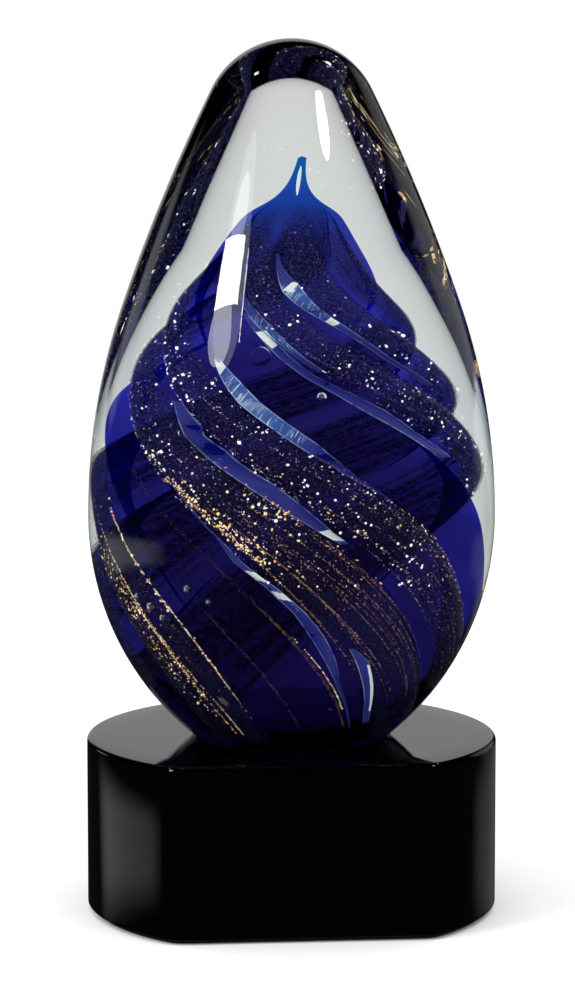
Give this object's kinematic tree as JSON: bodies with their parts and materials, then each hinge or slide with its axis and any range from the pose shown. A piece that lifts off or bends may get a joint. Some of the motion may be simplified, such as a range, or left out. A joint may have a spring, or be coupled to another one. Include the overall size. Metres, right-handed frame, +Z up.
{
  "type": "crystal award",
  "caption": "Free-standing art glass award: a clear egg cased over a twisted cobalt core with gold glitter, bonded to a low black glass base with a flat front for a plate.",
  "frame": {"origin": "centre of the underside of the foot pad, on the axis of the egg", "axes": "+Z up along the axis of the egg, -Y out of the flat front of the base, +X to the right of the front"},
  "size_m": [0.077, 0.0765, 0.1632],
  "materials": {
    "black_glass": "polished",
    "felt": "matte",
    "adhesive": "clear",
    "clear_glass": "polished",
    "cobalt_glass": "polished",
    "glitter_glass": "glitter",
    "gold_glass": "glitter"
  },
  "bodies": {
    "root": {"base_block": "black_glass", "foot_pad": "felt", "bond_film": "adhesive", "clear_casing": "clear_glass", "blue_core": "cobalt_glass", "glitter_veil_1": "glitter_glass", "glitter_veil_2": "glitter_glass", "glitter_veil_3": "glitter_glass", "glitter_veil_4": "glitter_glass", "glitter_veil_5": "glitter_glass", "gold_thread_1": "gold_glass", "gold_thread_2": "gold_glass"}
  },
  "joints": []
}
